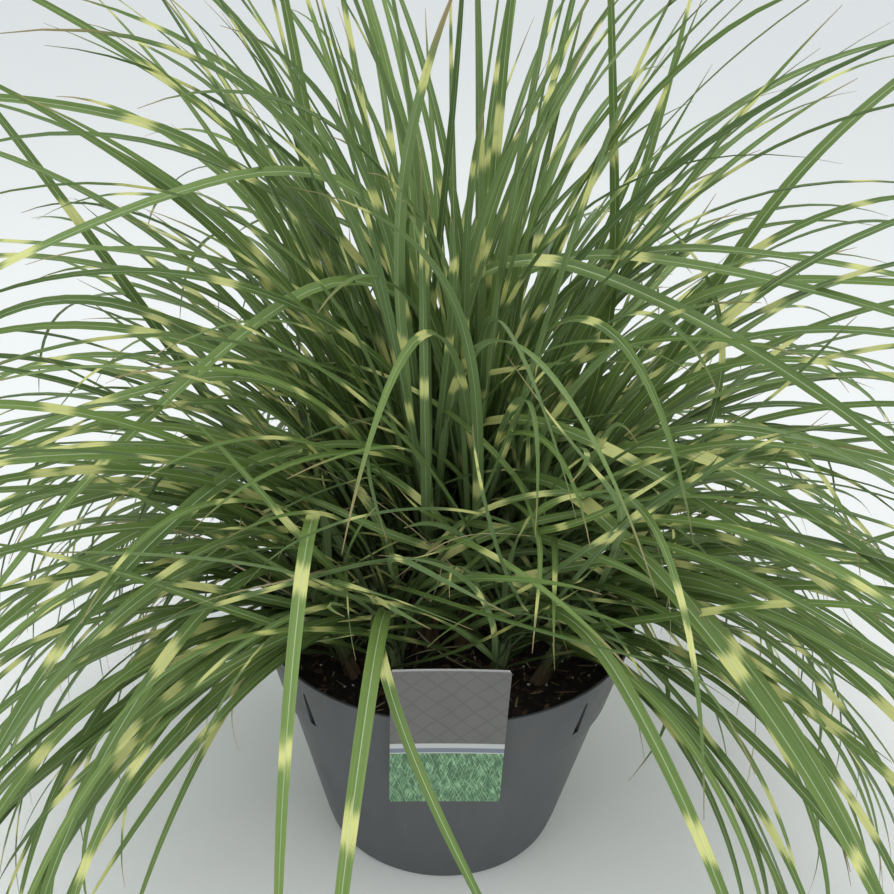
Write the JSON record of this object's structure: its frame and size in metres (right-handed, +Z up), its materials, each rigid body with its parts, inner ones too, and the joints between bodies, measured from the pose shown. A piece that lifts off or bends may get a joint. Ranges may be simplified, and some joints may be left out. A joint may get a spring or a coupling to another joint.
{
  "type": "potted miscanthus grass",
  "caption": "Clump of zebra-banded miscanthus with long arching leaves, in a round dark grey nursery pot with a plain card label hooked over its rim",
  "frame": {"origin": "Centre of the flat underside of the pot, on the surface that it stands on", "axes": "+Z up along the axis of the pot; -Y towards the front, where the label hangs; +X to the right seen from the front"},
  "size_m": [0.86, 0.6935, 0.6201],
  "materials": {
    "pot_plastic": "injection-moulded polypropylene, dark grey, satin",
    "peat": "moist peat and bark compost, matte",
    "label_card": "printed plastic card, slate grey over grass green, satin",
    "culm_sheath": "green stem wrapped in leaf sheaths, satin",
    "leaf_blade": "green leaf blade with cream-yellow cross bands and a pale midrib, satin above, bluish matte below"
  },
  "bodies": {
    "root": {"nursery_pot": "pot_plastic", "compost": "peat", "plant_label": "label_card", "culm_inner_01": "culm_sheath", "culm_inner_02": "culm_sheath", "culm_inner_03": "culm_sheath", "culm_inner_04": "culm_sheath", "culm_inner_05": "culm_sheath", "leaves_inner_01": "leaf_blade", "leaves_inner_02": "leaf_blade", "leaves_inner_03": "leaf_blade", "leaves_inner_04": "leaf_blade", "leaves_inner_05": "leaf_blade", "culm_middle_01": "culm_sheath", "culm_middle_02": "culm_sheath", "culm_middle_03": "culm_sheath", "culm_middle_04": "culm_sheath", "culm_middle_05": "culm_sheath", "culm_middle_06": "culm_sheath", "culm_middle_07": "culm_sheath", "culm_middle_08": "culm_sheath", "leaves_middle_01": "leaf_blade", "leaves_middle_02": "leaf_blade", "leaves_middle_03": "leaf_blade", "leaves_middle_04": "leaf_blade", "leaves_middle_05": "leaf_blade", "leaves_middle_06": "leaf_blade", "leaves_middle_07": "leaf_blade", "leaves_middle_08": "leaf_blade", "culm_outer_01": "culm_sheath", "culm_outer_02": "culm_sheath", "culm_outer_03": "culm_sheath", "culm_outer_04": "culm_sheath", "culm_outer_05": "culm_sheath", "culm_outer_06": "culm_sheath", "culm_outer_07": "culm_sheath", "culm_outer_08": "culm_sheath", "culm_outer_09": "culm_sheath", "culm_outer_10": "culm_sheath", "leaves_outer_01": "leaf_blade", "leaves_outer_02": "leaf_blade", "leaves_outer_03": "leaf_blade", "leaves_outer_04": "leaf_blade", "leaves_outer_05": "leaf_blade", "leaves_outer_06": "leaf_blade", "leaves_outer_07": "leaf_blade", "leaves_outer_08": "leaf_blade", "leaves_outer_09": "leaf_blade", "leaves_outer_10": "leaf_blade", "culm_front_01": "culm_sheath", "culm_front_02": "culm_sheath", "leaves_front_01": "leaf_blade", "leaves_front_02": "leaf_blade"}
  },
  "joints": []
}
